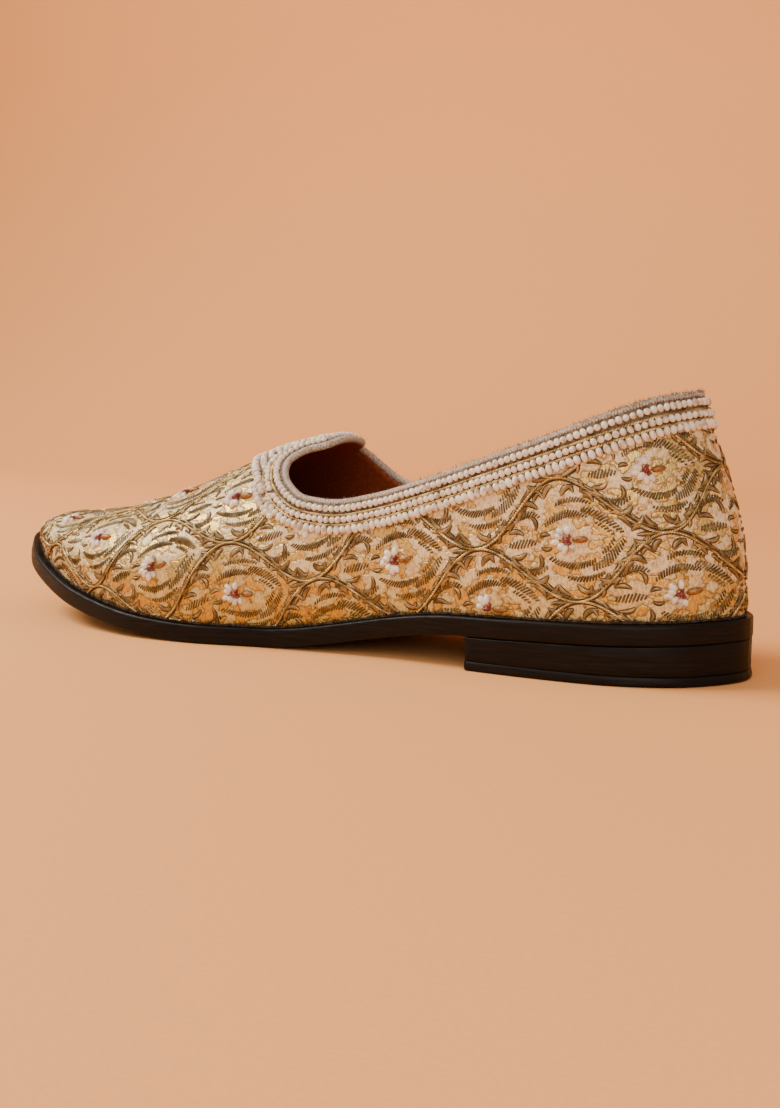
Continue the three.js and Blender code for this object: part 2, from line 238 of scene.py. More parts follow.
def round_ended(column, start, end, less):
    """Half-width that closes round at both ends: the table's width times the root of u(1-u)."""
    s = SOLE_ROWS[:, 0]
    share = monotone(s, SOLE_ROWS[:, column] / np.sqrt(s / LENGTH * (1 - s / LENGTH)))

    def half(at):
        u = np.clip((at - start) / (end - start), 0, 1)
        wide = share(u * LENGTH) * np.sqrt(u * (1 - u))
        return np.maximum(wide - less * np.minimum(1, wide / 12), 0)

    return half


def ease(t):
    """Smoothstep from 0 to 1."""
    t = np.clip(t, 0, 1)
    return t * t * (3 - 2 * t)


def underside(s):
    """Height of the outsole's underside: heel seat, waist, flat tread and toe spring."""
    seat = HEEL_BACK_HEIGHT + (HEEL_FRONT_HEIGHT - HEEL_BACK_HEIGHT) * s / HEEL_LENGTH
    waist = HEEL_FRONT_HEIGHT * ease((TREAD_FROM - s) / (TREAD_FROM - HEEL_LENGTH))
    spring = TOE_SPRING * (np.maximum(s - TREAD_TO, 0) / (LENGTH - TREAD_TO)) ** TOE_SPRING_POWER
    return np.where(s <= HEEL_LENGTH, seat, np.where(s < TREAD_FROM, waist, spring))


def above_sole(s, height):
    """The point at a height square to the underside, as station and height above the floor."""
    rise = (underside(s + 0.5) - underside(s - 0.5)) * (s > HEEL_LENGTH + 0.5)
    long = np.hypot(1, rise)
    return s - height * rise / long, underside(s) + height / long


def close_at_ends(count, start, end):
    """Stations from start to end, closer together towards both ends."""
    t = np.linspace(0, 1, count)
    return start + (end - start) * (0.78 * (1 - np.cos(np.pi * t)) / 2 + 0.22 * t)


# ------------------------------------------------------------
# Outsole: one plate of leather, its edge dyed black-brown, waxed and burnished along its length.

edge, nodes, links, shader, streaks = spotted("dyed_edge", (0.016, 0.011, 0.009), 0.36, 0, 90, 5, [
    (0.30, (0.003, 0.0022, 0.002)), (0.62, (0.008, 0.005, 0.004)), (0.85, (0.02, 0.012, 0.009))], (1, 1, 14))
rough = colour_ramp(nodes, links, streaks, [(0.3, (0.36,) * 3), (0.8, (0.58,) * 3)])
links.new(rough, shader.inputs["Roughness"])
shader.inputs["Specular IOR Level"].default_value = 0.12
shader.inputs["Coat Weight"].default_value = 0.02
shader.inputs["Coat Roughness"].default_value = 0.3
add_bump(nodes, links, shader, streaks, 0.5, 0.0003)

END_GAP = 1e-5  # keeps the first and last sections from shrinking to a point
THIN = 0.03  # the least half-width of a section
sole_halves = round_ended(1, 0, LENGTH, 0), round_ended(2, 0, LENGTH, 0)


def layered_plate(name, halves, stations, layers, material):
    """A closed plate that follows the sole: layers are pairs of height and inset, bottom to top."""
    heights, insets = np.array(layers, float).T
    sides = []
    for sign, half in ((1, halves[0]), (-1, halves[1])):
        x, z = above_sole(stations[:, None], heights[None, :])
        y = sign * np.maximum(half(stations)[:, None] - insets[None, :], THIN)
        sides.append(np.stack([x - CENTRE, y, z], -1))
    ring = np.concatenate([sides[0], sides[1][:, ::-1]], 1)
    faces = grid_faces(len(stations), ring.shape[1], wrap=True)
    return add_mesh(name, ring, faces, material)


# columns: height above the underside, inset from the outline
SOLE_EDGE = [(0, 3.0), (0, 0.9), (0.1, 0.5), (0.35, 0.2), (0.8, 0.05), (1.6, 0), (3.1, 0.05), (4.6, 0),
             (5.5, 0.05), (5.9, 0.25), (6.15, 0.6), (6.2, 1.2), (6.2, 4.0)]
outsole = layered_plate("outsole_looks", sole_halves, close_at_ends(320, END_GAP, LENGTH - END_GAP),
                        SOLE_EDGE, edge)
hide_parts("outsole")
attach(outsole, "root")

# ------------------------------------------------------------
# Heel: a stack of leather lifts with a thin top piece, trimmed flush with the sole, cut square at the
# breast, dyed and waxed. Its foot flares a hair where it has spread on the ground.


def heel_stack(name, layers, material):
    """A block of the heel: layers are height above the floor, or depth below the sole, then inset."""
    stations = np.concatenate([close_at_ends(150, END_GAP, 2 * HEEL_LENGTH - 4), [HEEL_LENGTH]])
    stations = np.unique(stations[stations <= HEEL_LENGTH])
    columns = []
    for sign, half in ((1, sole_halves[0]), (-1, sole_halves[1])):
        side = []
        for floor_height, hung, inset in layers:
            z = np.where(hung > 0, underside(stations) - AIR * 0.4 - hung, floor_height)
            y = sign * np.maximum(half(stations) - inset, THIN)
            x = stations + inset * np.clip(1 - stations / 12, 0, 1) - CENTRE
            side.append(np.stack([x, y, z], -1))
        columns.append(np.stack(side, 1))
    ring = np.concatenate([columns[0], columns[1][:, ::-1]], 1)
    faces = [grid_faces(len(stations), ring.shape[1], wrap=True)]
    last = (len(stations) - 1) * ring.shape[1]
    rung = np.arange(len(layers) - 1)
    far = ring.shape[1] - 1 - rung
    faces.append(np.stack([rung, rung + 1, far - 1, far], -1) + last)
    return add_mesh(name, ring, np.concatenate(faces), material)


# columns: height above the floor, depth below the sole where the layer hangs from it, inset
heel = heel_stack("heel_looks", [
    (3.06, 0, 1.2), (3.08, 0, 0.5), (3.25, 0, 0.3), (5.0, 0, 0.26), (6.3, 0, 0.3), (8.0, 0, 0.24),
    (0, 0.4, 0.2), (0, 0.1, 0.3), (0, 0.02, 0.7)], edge)
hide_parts("heel")
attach(heel, "root")

top_piece = heel_stack("heel_top_piece_looks", [
    (0, 0, 3.0), (0, 0, 0.9), (0.1, 0, 0.45), (0.5, 0, 0.05), (1.1, 0, -0.1), (2.0, 0, 0.08),
    (2.8, 0, 0.22), (2.98, 0, 0.4), (3.0, 0, 1.2)], edge)
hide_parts("heel_top_piece")
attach(top_piece, "root")

# ------------------------------------------------------------
# Last: the surface that every piece of the upper lies on, worked out from a row of sections.

WALL = 2.2
WELT_SHOW = 2.6
BASE = SOLE_THICK + AIR
LAST_BACK, LAST_FRONT, TOE_ROUND_FROM = 2.4, 290.6, 264.0
LOWER_SHARE = 0.3

# columns: station, ridge, swell, fullest, roundness
LAST_ROWS = np.array([
    [0, 112, 0.0, 0.2, 2.6],
    [25, 112, 0.8, 0.2, 2.6],
    [60, 106, 1.2, 0.2, 2.3],
    [90, 92, 1.6, 0.22, 2.05],
    [115, 79.5, 2.0, 0.24, 2.0],
    [137, 69.6, 2.6, 0.26, 2.2],
    [150, 68.0, 2.5, 0.27, 2.05],
    [163, 65.4, 2.4, 0.28, 1.85],
    [176, 61.2, 2.1, 0.28, 1.8],
    [190, 55.9, 1.8, 0.28, 1.8],
    [215, 46.7, 1.4, 0.3, 1.95],
    [240, 40.4, 1.0, 0.32, 2.1],
    [262, 37.2, 0.5, 0.34, 2.2],
])
# columns: height, lean of the back curve
BACK_ROWS = np.array([
    [15, 0.6], [24, -0.4], [30, -0.1], [42, 1.1], [55, 4.7], [68, 9.8], [80, 14.4], [90, 17.6], [115, 23]])
LEAN_REACH = 86.0

last_halves = [round_ended(column, LAST_BACK, LAST_FRONT, WELT_SHOW) for column in (1, 2)]
ridge_at, swell_at, fullest_at, roundness_at = (monotone(LAST_ROWS[:, 0], LAST_ROWS[:, k])
                                                for k in (1, 2, 3, 4))
lean_at = monotone(*BACK_ROWS.T)


def on_last(s, share, side, offset=0.0):
    """A point of the last: station, share of the way from feather edge to ridge, and side 1 or -1."""
    s, share, side = np.broadcast_arrays(np.asarray(s, float), share, side)
    near = (s - LAST_BACK) / (LAST_FRONT - LAST_BACK)
    ends = np.minimum(1, np.sqrt(np.maximum(near * (1 - near), 0)) * 8)
    half = np.where(side > 0, last_halves[0](s), last_halves[1](s))
    foot_x, foot_z = above_sole(s, BASE)
    past = np.maximum(s - TOE_ROUND_FROM, 0) / (LAST_FRONT - TOE_ROUND_FROM)
    high = (ridge_at(s) - foot_z) * np.sqrt(np.maximum(1 - past**2.2, 0))
    fullest = fullest_at(s) * high
    widest = half + swell_at(s) * ends
    low = np.clip(share / LOWER_SHARE, 0, 1)
    turn = np.clip((share - LOWER_SHARE) / (1 - LOWER_SHARE), 0, 1) * np.pi / 2
    power = 2 / roundness_at(s)
    lower = share < LOWER_SHARE
    y = np.where(lower, half + (widest - half) * np.sin(low * np.pi / 2),
                 widest * np.maximum(np.cos(turn), 0) ** power)
    z = np.where(lower, fullest * low, fullest + (high - fullest) * np.sin(turn) ** power)
    grow = offset * ends
    across = side * np.maximum(y + grow * np.minimum(1, y / np.maximum(widest * 0.7, 0.01)), 0)
    height = foot_z + z + grow * (z / np.maximum(high, 0.01)) ** 1.5
    lean = lean_at(height) * np.maximum(1 - s / LEAN_REACH, 0) ** 2
    along = offset * (2 * near - 1) * np.abs(2 * near - 1) ** 6
    return np.stack([foot_x + lean + along - CENTRE, across, height], -1)


# columns: station, height of a quarter's topline seen from the side
TOPLINE_OUTER = monotone(*np.array([
    [-30, 87.5], [6, 86.4], [16, 85.0], [24, 83.1], [31, 80.5], [48, 73.9], [77, 63.8], [98, 56.8],
    [116, 51.8], [130, 49.5], [141, 50.4], [148, 53.6], [152, 56.4], [155, 59.6], [156.5, 62.5]]).T)
TOPLINE_INNER = monotone(*np.array([
    [-30, 87.5], [6, 86.4], [16, 85.0], [24, 83.1], [31, 80.5], [48, 73.9], [77, 64.0], [98, 57.2],
    [114, 53.0], [127, 51.5], [134, 52.2], [139, 54.4], [143, 58.4], [146, 63.0], [148, 67]]).T)
TONGUE_TIP, TONGUE_HALF, TONGUE_CORNER = 143.0, 12.5, 5.0
NOTCH_FRONT, NOTCH_FILLET = 156.5, 7.0


def tongue_half(station):
    """Half-width of the tongue in plan: rounded at its tip, filleted into the notch at its root."""
    tip, root = station - TONGUE_TIP, station - (NOTCH_FRONT - NOTCH_FILLET)
    corner = TONGUE_CORNER - np.sqrt(np.maximum(TONGUE_CORNER**2 - (TONGUE_CORNER - tip) ** 2, 0))
    fillet = NOTCH_FILLET - np.sqrt(np.maximum(NOTCH_FILLET**2 - root**2, 0))
    return TONGUE_HALF - np.where(tip < TONGUE_CORNER, corner, 0) + np.where(root > 0, fillet, 0)


def solve_share(s, side, above):
    """The share at which above(point) turns from negative to positive, by halving the interval."""
    low, high = np.zeros_like(s), np.ones_like(s)
    for _ in range(30):
        middle = (low + high) / 2
        positive = above(on_last(s, middle, side)) > 0
        low, high = np.where(positive, low, middle), np.where(positive, middle, high)
    return (low + high) / 2


def edge_of_side(side, topline, end):
    """Half of the opening's edge: along the topline from the heel's back, then round the tongue's tip."""
    s = LAST_BACK + (end - LAST_BACK) * np.linspace(0, 1, 420) ** 1.3
    share = solve_share(s, side, lambda p: p[:, 2] - topline(p[:, 0] + CENTRE))
    line = on_last(s, share, side)
    station = line[:, 0] + CENTRE
    on_line = (station < TONGUE_TIP) | (np.abs(line[:, 1]) > tongue_half(station))
    s, share, station = s[on_line], share[on_line], station[on_line]
    back_to_tip = TONGUE_TIP + (station[-1] - TONGUE_TIP) * np.linspace(1, 0, 60) ** 1.6
    plan_s = np.concatenate([back_to_tip, [TONGUE_TIP] * 8])
    plan_y = np.concatenate([tongue_half(back_to_tip), np.linspace(7.0, 0, 8)])
    plan_s = 2 * plan_s - above_sole(plan_s, BASE)[0]
    plan_share = solve_share(plan_s, side, lambda p: plan_y - np.abs(p[:, 1]) - 1e-4)
    return np.concatenate([s, plan_s]), np.concatenate([share, plan_share])


outer_edge = edge_of_side(1, TOPLINE_OUTER, 156.4)
inner_edge = edge_of_side(-1, TOPLINE_INNER, 147.9)
edge_s, edge_share = (np.concatenate([outer_edge[k], inner_edge[k][::-1]]) for k in (0, 1))
edge_side = np.repeat([1, -1], [len(outer_edge[0]), len(inner_edge[0])])
edge_c = edge_side * (1 - edge_share)


def run_of(path):
    """The distance walked along a path at each of its points."""
    return np.concatenate([[0], np.cumsum(np.linalg.norm(np.diff(path, axis=0), axis=1))])


def sampled(at, run, values):
    """Columns of values known at some distances, read off at others."""
    return np.stack([np.interp(at, run, column) for column in values.T], 1)


def evenly(points, count, closed=True):
    """The same path with evenly spaced points."""
    path = np.vstack([points, points[:1]]) if closed else points
    run = run_of(path)
    keep = np.concatenate([[True], np.diff(run) > 1e-9])
    return sampled(np.linspace(0, run[-1], count, endpoint=not closed), run[keep], path[keep])


def smoothed(points, reach, times=2, closed=True):
    """A running average along a path, which rounds off kinks."""
    at, size = np.arange(len(points)), len(points)
    for _ in range(times):
        total = np.zeros_like(points)
        for k in range(-reach, reach + 1):
            total += points[(at - k) % size if closed else np.clip(at + k, 0, size - 1)]
        points = total / (2 * reach + 1)
    return points


edge_loop = smoothed(evenly(on_last(edge_s, edge_share, edge_side), 1000), 3)


def in_opening(s, c):
    """Whether points of the unrolled last, by station and signed share from the ridge, lie in the opening."""
    inside = np.zeros(s.shape, bool)
    next_s, next_c = np.roll(edge_s, -1), np.roll(edge_c, -1)
    for k in range(len(edge_s)):
        crosses = (edge_c[k] > c) != (next_c[k] > c)
        slope = (next_s[k] - edge_s[k]) / (next_c[k] - edge_c[k] if next_c[k] != edge_c[k] else 1.0)
        inside ^= crosses & (s < edge_s[k] + slope * (c - edge_c[k]))
    return inside


def last_grid(stations, columns, offset=0.0):
    """Stations, signed shares and points of the last, on a grid from side to side over the ridge."""
    s, c = np.meshgrid(stations, np.linspace(1, -1, columns), indexing="ij")
    return s, c, on_last(s, 1 - np.abs(c), np.where(c >= 0, 1, -1), offset)


def used_only(points, faces):
    """Leaves out the points that no face uses."""
    used, again = np.unique(faces, return_inverse=True)
    return points[used], again.reshape(faces.shape)


def last_skin(name, offset, rows, columns, edge_drop, material):
    """A skin of the upper at an offset, cut at the opening: its edge vertices are moved on to the edge."""
    tip = np.array([0.002, 0.01, 0.03, 0.07, 0.12])
    stations = close_at_ends(rows, LAST_BACK + END_GAP, LAST_FRONT - END_GAP)
    stations = np.sort(np.concatenate([stations, LAST_BACK + tip, LAST_FRONT - tip]))
    s, c, points = last_grid(stations, 2 * columns + 1, offset)
    within, points = in_opening(s, c).ravel(), points.reshape(-1, 3)
    faces = grid_faces(*s.shape)
    kept = faces[~within[faces].all(1)]
    move = np.unique(kept[within[kept]])
    target = edge_loop + edge_drop
    for part in np.array_split(move, max(1, len(move) // 400)):
        away = ((points[part][:, None] - target[None]) ** 2).sum(-1)
        points[part] = target[away.argmin(1)]
    return add_mesh(name, *used_only(points, kept), material)


# ------------------------------------------------------------
# Insole and lining: dark brown leather, dull with wear, seen only through the opening.

lining_material, nodes, links, shader, pores = spotted("lining", (0.28, 0.05, 0.014), 0.6, 0, 900, 4, [
    (0.3, (0.22, 0.040, 0.010)), (0.75, (0.36, 0.075, 0.020))])
add_bump(nodes, links, shader, pores, 0.35, 0.0004)

INSOLE_INSET = WALL + 1.4
INSOLE_ROUND_FROM, INSOLE_ROUND = 261.0, 15.0


def insole_half(half):
    """Half-width of the insole: inside the upper's foot, with a round front short of the toe."""
    start = LAST_BACK + INSOLE_INSET

    def width(s):
        past = np.maximum(s - INSOLE_ROUND_FROM, 0) / INSOLE_ROUND
        back = INSOLE_INSET * (1 - ease((s - start) / 50))
        inside = half(s - back) - INSOLE_INSET * ease((s - start) / 14)
        return np.maximum(inside, 0) * np.sqrt(np.maximum(1 - past * past, 0))

    return width


insole = layered_plate("insole_looks", [insole_half(half) for half in last_halves],
                       close_at_ends(140, LAST_BACK + INSOLE_INSET, INSOLE_ROUND_FROM + INSOLE_ROUND - 0.02),
                       [(BASE, 0.6), (BASE + 0.3, 0.1), (BASE + 1.4, 0), (BASE + 2.1, 0.3), (BASE + 2.4, 1.2),
                        (BASE + 2.4, 5), (BASE + 2.3, 12)], lining_material)
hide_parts("insole")
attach(insole, "root")

lining = last_skin("lining", -WALL + 0.2, 220, 50, np.array([0, 0, -0.6]), lining_material)
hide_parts("upper")
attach(lining, "root")

# ------------------------------------------------------------
# Upper: champagne satin brocade lasted over a stiffened form, tight at the toe and slightly uneven
# where it is pulled over the feather edge.

cloth, nodes, links, shader = new_material("brocade_ground", (0.60, 0.46, 0.29), 0.38, 0.2)


def by_height(nodes, links, low, high, uneven):
    """A mask that goes from 0 at one height to 1 at another, its line made uneven by noise, in metres."""
    place = nodes.new("ShaderNodeTexCoord")
    parts = nodes.new("ShaderNodeSeparateXYZ")
    links.new(place.outputs["Object"], parts.inputs["Vector"])
    patch = scaled_and_added(nodes, links, noise(nodes, links, 45, 3), uneven, parts.outputs["Z"])
    span = nodes.new("ShaderNodeMapRange")
    span.inputs["From Min"].default_value = low + uneven / 2
    span.inputs["From Max"].default_value = high + uneven / 2
    links.new(patch, span.inputs["Value"])
    return span.outputs["Result"]


def scaled_and_added(nodes, links, value, scale, other):
    """One value times a number, plus another value."""
    sum_node = nodes.new("ShaderNodeMath")
    sum_node.operation = "MULTIPLY_ADD"
    sum_node.inputs[1].default_value = scale
    links.new(value, sum_node.inputs[0])
    links.new(other, sum_node.inputs[2])
    return sum_node.outputs[0]


def mixed(nodes, links, one, other, mask=None, share=0.5, way="MIX"):
    """Two colours mixed by a mask or by a plain share, in a given way."""
    mix = nodes.new("ShaderNodeMix")
    mix.data_type = "RGBA"
    mix.blend_type = way
    mix.inputs["Factor"].default_value = share
    if mask:
        links.new(mask, mix.inputs["Factor"])
    links.new(one, mix.inputs["A"])
    links.new(other, mix.inputs["B"])
    return mix.outputs["Result"]


motif = noise(nodes, links, 210, 2, (1, 1, 1.3))
fleck = noise(nodes, links, 1500, 3, (1, 1, 0.5))
weave = noise(nodes, links, 2600, 2, (1, 1, 0.35))
silk = colour_ramp(nodes, links, motif, [
    (0.43, (0.84, 0.62, 0.22)), (0.465, (0.24, 0.145, 0.04)), (0.485, (0.79, 0.60, 0.31)),
    (0.62, (0.90, 0.75, 0.48))])
# Painted reflection and shade: towards the sole the cloth is coloured a deeper, darker amber. This is partly
# the gold of the cloth and partly painted reflection of the warm floor and painted shade under the vamp.
amber_gold_and_painted_reflection = colour_ramp(nodes, links, motif, [
    (0.44, (0.66, 0.44, 0.09)), (0.48, (0.18, 0.11, 0.026)), (0.50, (0.60, 0.42, 0.11)),
    (0.68, (0.76, 0.58, 0.22))])
ground = mixed(nodes, links, amber_gold_and_painted_reflection, silk, by_height(nodes, links, 0.014, 0.038, 0.014))
speck = colour_ramp(nodes, links, fleck, [(0.36, (0.45, 0.30, 0.13)), (0.56, (1.0, 1.0, 1.0))])
links.new(mixed(nodes, links, ground, speck, share=0.6, way="MULTIPLY"), shader.inputs["Base Color"])
lame = colour_ramp(nodes, links, motif, [(0.44, (0.85,) * 3), (0.50, (0.15,) * 3)])
links.new(lame, shader.inputs["Metallic"])
shader.inputs["Sheen Weight"].default_value = 0.15
padded = colour_ramp(nodes, links, motif, [(0.42, (0.25,) * 3), (0.46, (0.0,) * 3), (0.56, (1.0,) * 3)])
add_bump(nodes, links, shader, scaled_and_added(nodes, links, weave, 0.5, padded), 0.8, 0.0005)

brocade = last_skin("brocade", 0.0, 300, 66, np.zeros(3), cloth)
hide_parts("upper")
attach(brocade, "root")

# ------------------------------------------------------------
# Collar edge: a padded three-ply cord of ivory yarn sewn round the whole opening, over the raw edge of
# cloth and lining.

# the part of the upper where anything of the collar can lie: its least height and its front
COLLAR_LOW, COLLAR_FRONT = 30.0, 50.0


def unit(vectors):
    """The same vectors at length 1."""
    return vectors / np.maximum(np.linalg.norm(vectors, axis=-1, keepdims=True), 1e-12)


skin_stations = close_at_ends(420, LAST_BACK + 0.01, LAST_FRONT - 0.5)
skin_s, skin_c, skin_points = last_grid(skin_stations, 241)
skin_cut = in_opening(skin_s, skin_c).ravel()
skin_normals = unit(np.cross(np.gradient(skin_points, axis=1), np.gradient(skin_points, axis=0)))
skin_points, skin_normals = skin_points.reshape(-1, 3), skin_normals.reshape(-1, 3)
near_collar = (skin_points[:, 2] > COLLAR_LOW) & (skin_points[:, 0] < COLLAR_FRONT)
collar_points, collar_normals = skin_points[near_collar], skin_normals[near_collar]
collar_cut = skin_cut[near_collar]


def tree_of(points):
    """A search tree of points."""
    tree = KDTree(len(points))
    for k, point in enumerate(points):
        tree.insert(point, k)
    tree.balance()
    return tree


collar_tree = tree_of(collar_points)
edge_tree = tree_of(edge_loop)


def off_edge(points):
    """Whether points stand off the last, or over the part of it cut away for the opening."""
    found = [collar_tree.find(p) for p in points]
    return collar_cut[[f[1] for f in found]] | (np.array([f[2] for f in found]) > 1.2)


def settle(points):
    """Brings points to the last's surface: the nearest grid point, then square on to its plane."""
    nearest = np.array([collar_tree.find(p)[1] for p in points])
    n = collar_normals[nearest]
    return points - ((points - collar_points[nearest]) * n).sum(-1, keepdims=True) * n, n


def distance_to_edge(points):
    """How far each point is from the opening's edge."""
    return np.array([edge_tree.find(p)[2] for p in points])


def along(path, closed=True):
    """Unit tangents of a path."""
    return unit(np.roll(path, -1, 0) - np.roll(path, 1, 0) if closed else np.gradient(path, axis=0))


_, edge_normal = settle(edge_loop)
edge_normal = smoothed(edge_normal, 5)
edge_tangent = along(edge_loop)
edge_inward = np.cross(edge_tangent, edge_normal)
if edge_inward[0, 2] > 0:
    edge_inward = -edge_inward


def frame_of(path, normal, closed):
    """Unit vectors along, beside and off a path, square to each other, from rough normals."""
    t = along(path, closed)
    b = unit(np.cross(t, normal))
    return t, b, np.cross(b, t)


def tube(path, normal, radius, sides, closed=True):
    """Points and faces of a tube: a circle carried along a path, its frame from the given normals."""
    _, b, n = frame_of(path, normal, closed)
    a = np.linspace(0, 2 * np.pi, sides, endpoint=False)
    radius = np.broadcast_to(radius, len(path))[:, None, None]
    ring = np.cos(a)[None, :, None] * b[:, None] + np.sin(a)[None, :, None] * n[:, None]
    faces = grid_faces(len(path), sides, wrap=True)
    if closed:
        c = np.arange(sides)
        d = (c + 1) % sides
        last = (len(path) - 1) * sides
        faces = np.vstack([faces, np.stack([last + c, last + d, d, c], -1)])
    return (path[:, None] + radius * ring).reshape(-1, 3), faces


def joined(parts):
    """One list of points, one of anything else that goes with them, and one of faces, from many."""
    starts = np.cumsum([0] + [len(part[0]) for part in parts[:-1]])
    lists = [np.concatenate(each) for each in zip(*(part[:-1] for part in parts))]
    return *lists, np.vstack([part[-1] + start for part, start in zip(parts, starts)])


def twisted(path, normal, radius, strand, pitch, strands, sides, closed=False):
    """A twisted cord: strands wound round a path at a radius, as points and faces."""
    _, b, n = frame_of(path, normal, closed)
    turns = [2 * np.pi * (run_of(path) / pitch + k / strands)[:, None] for k in range(strands)]
    return joined([tube(path + radius * (np.cos(turn) * b + np.sin(turn) * n), n, strand, sides, closed)
                   for turn in turns])


yarn, nodes, links, shader, fuzz = spotted("ivory_yarn", (0.62, 0.53, 0.44), 0.6, 0, 1500, 3, [
    (0.3, (0.20, 0.14, 0.10)), (0.5, (0.44, 0.35, 0.27)), (0.7, (0.62, 0.53, 0.44))])
shader.inputs["Sheen Weight"].default_value = 0.3
add_bump(nodes, links, shader, fuzz, 0.5, 0.0003)

cord_path = edge_loop - edge_normal * 0.7 + edge_inward * 0.6
cord_path = smoothed(evenly(cord_path, 1400), 3)
_, cord_normal = settle(cord_path)
piping = add_mesh("edge_cord", *twisted(cord_path, smoothed(cord_normal, 5), 0.6, 0.7, 2.8, 3, 7), yarn)
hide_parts("collar_trim")
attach(piping, "root")

# ------------------------------------------------------------
# Border tape: a strip of cloth under the beads, from the edge cord to the outermost row, where its
# front makes a low arch over the instep. Its dark brown is partly its own colour and partly painted shade
# between the beads.

TRIM_WIDTH = 11.0
INSTEP_FROM, INSTEP_LOW = 156.0, 44.0  # the instep's part of the border: first station, least height
BAND_TO = 168.0  # the band along the edge has ended at this station
# columns: station, half-width of the border's front in plan
ARCH_ROWS = np.array([[150, 34], [156, 31.2], [161, 28], [168.5, 21], [174, 13.5], [178, 6.5], [179.5, 0]])


def in_border(points):
    """Whether points of the upper lie under the border."""
    station = points[:, 0] + CENTRE
    arch = np.interp(station, ARCH_ROWS[:, 0], ARCH_ROWS[:, 1], left=99, right=-1)
    over_instep = (np.abs(points[:, 1]) < arch) & (station > INSTEP_FROM) & (points[:, 2] > INSTEP_LOW)
    return over_instep | (distance_to_edge(points) < TRIM_WIDTH) & (station < BAND_TO)


# Partly painted shade: the tape's brown is darkened to give the shade in the gaps between the beads.
tape_brown_and_painted_shade, nodes, links, shader, mottle = spotted("border_tape", (0.36, 0.25, 0.15), 0.8, 0, 700, 3, [
    (0.35, (0.06, 0.035, 0.018)), (0.65, (0.26, 0.18, 0.11))])
add_bump(nodes, links, shader, mottle, 0.6, 0.0004)

BORDER_FRONT = 40.0
TAPE_LIFT = 0.35


def under_border(points, cut_away):
    """Which points of the last lie under the border and outside the opening."""
    near = np.flatnonzero(~cut_away & (points[:, 2] > COLLAR_LOW) & (points[:, 0] < BORDER_FRONT))
    wanted = np.zeros(len(points), bool)
    wanted[near] = in_border(points[near])
    return wanted


tape_points = last_grid(skin_stations, 241, TAPE_LIFT)[2].reshape(-1, 3)
tape_faces = grid_faces(*skin_s.shape)
tape_faces = tape_faces[under_border(tape_points, skin_cut)[tape_faces].all(1)]
tape = add_mesh("border_tape", *used_only(tape_points, tape_faces), tape_brown_and_painted_shade)
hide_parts("collar_trim")
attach(tape, "root")

# ------------------------------------------------------------
# Beads: rows of ivory seed beads sewn side by side across the border, larger towards the outside, with
# thin twisted cords of gold thread laid between the rows.


def offset_rows(distance):
    """Runs of path and normal at a distance from the edge, walked over the surface in short steps."""
    path, inward = edge_loop, edge_inward
    steps = int(np.ceil(distance / 2.2))
    for _ in range(steps):
        path, n = settle(path + inward * distance / steps)
        inward = unit(inward - (inward * n).sum(-1, keepdims=True) * n)
    keep = (distance_to_edge(path) > distance * 0.95) & ~off_edge(path)
    if keep.all():
        return [(np.vstack([path, path[:1]]), np.vstack([n, n[:1]]))]
    order = np.roll(np.arange(len(path)), -np.flatnonzero(~keep)[0])
    order = order[keep[order]]
    breaks = np.flatnonzero(np.linalg.norm(np.diff(path[order], axis=0), axis=1) > 2.5) + 1
    return [(path[part], n[part]) for part in np.split(order, breaks) if len(part) > 8]


def arch_row(inset):
    """The path that follows the border's arched front over the instep, at an inset behind it."""
    rows = np.arange(len(ARCH_ROWS))
    at = np.linspace(1.6, rows[-1], 70)
    s = monotone(rows, ARCH_ROWS[:, 0])(at) - inset
    wide = np.maximum(monotone(rows, ARCH_ROWS[:, 1])(at) * (1 - inset / 60), 0)
    one, other = (on_last(s, solve_share(s, side, lambda p: wide - np.abs(p[:, 1])), side)
                  for side in (1, -1))
    path = smoothed(np.vstack([one, other[::-1][1:]]), 2, closed=False)
    return settle(evenly(path, 200, closed=False))


BEAD_CLEARANCE = 1.95  # between bead centres
BEAD_TO_EDGE = 2.5


def beads_on(path, normal, pitch, placed):
    """Places and frames of beads at a pitch along a path, left out where one is already placed."""
    run = run_of(path)
    count = max(1, int(round(run[-1] / pitch)))
    at = (np.arange(count) + 0.5) * run[-1] / count
    place, n = sampled(at, run, path), unit(sampled(at, run, normal))
    t = sampled(at, run, along(path, closed=False))
    t = unit(t - (t * n).sum(1, keepdims=True) * n)
    free = (distance_to_edge(place) > BEAD_TO_EDGE) & ~off_edge(place)
    if len(placed):
        free &= np.sqrt(((place[:, None] - placed[None]) ** 2).sum(-1)).min(1) > BEAD_CLEARANCE
    return place[free], t[free], n[free]


def ellipsoids(place, t, n, size, turn=0.0):
    """Round beads: a unit ball stretched along, across and off the surface, turned in its plane."""
    rings, sides = 7, 10
    b = np.cross(n, t)
    c, s = (np.broadcast_to(f(turn), len(place))[:, None] for f in (np.cos, np.sin))
    t, b = c * t + s * b, c * b - s * t
    up = np.linspace(-0.5, 0.5, rings)[:, None] * np.pi
    round_ = np.linspace(0, 2 * np.pi, sides, endpoint=False)
    ball = np.stack(np.broadcast_arrays(
        np.cos(up) * np.cos(round_), np.cos(up) * np.sin(round_), np.sin(up)), -1)
    axes = np.stack([t, b, n], 1) * np.broadcast_to(size, (len(place), 3))[:, :, None]
    points = place[:, None] + ball.reshape(-1, 3) @ axes
    faces = grid_faces(rings, sides, wrap=True)
    faces = faces[None] + (np.arange(len(place)) * rings * sides)[:, None, None]
    return points.reshape(-1, 3), faces.reshape(-1, 4)


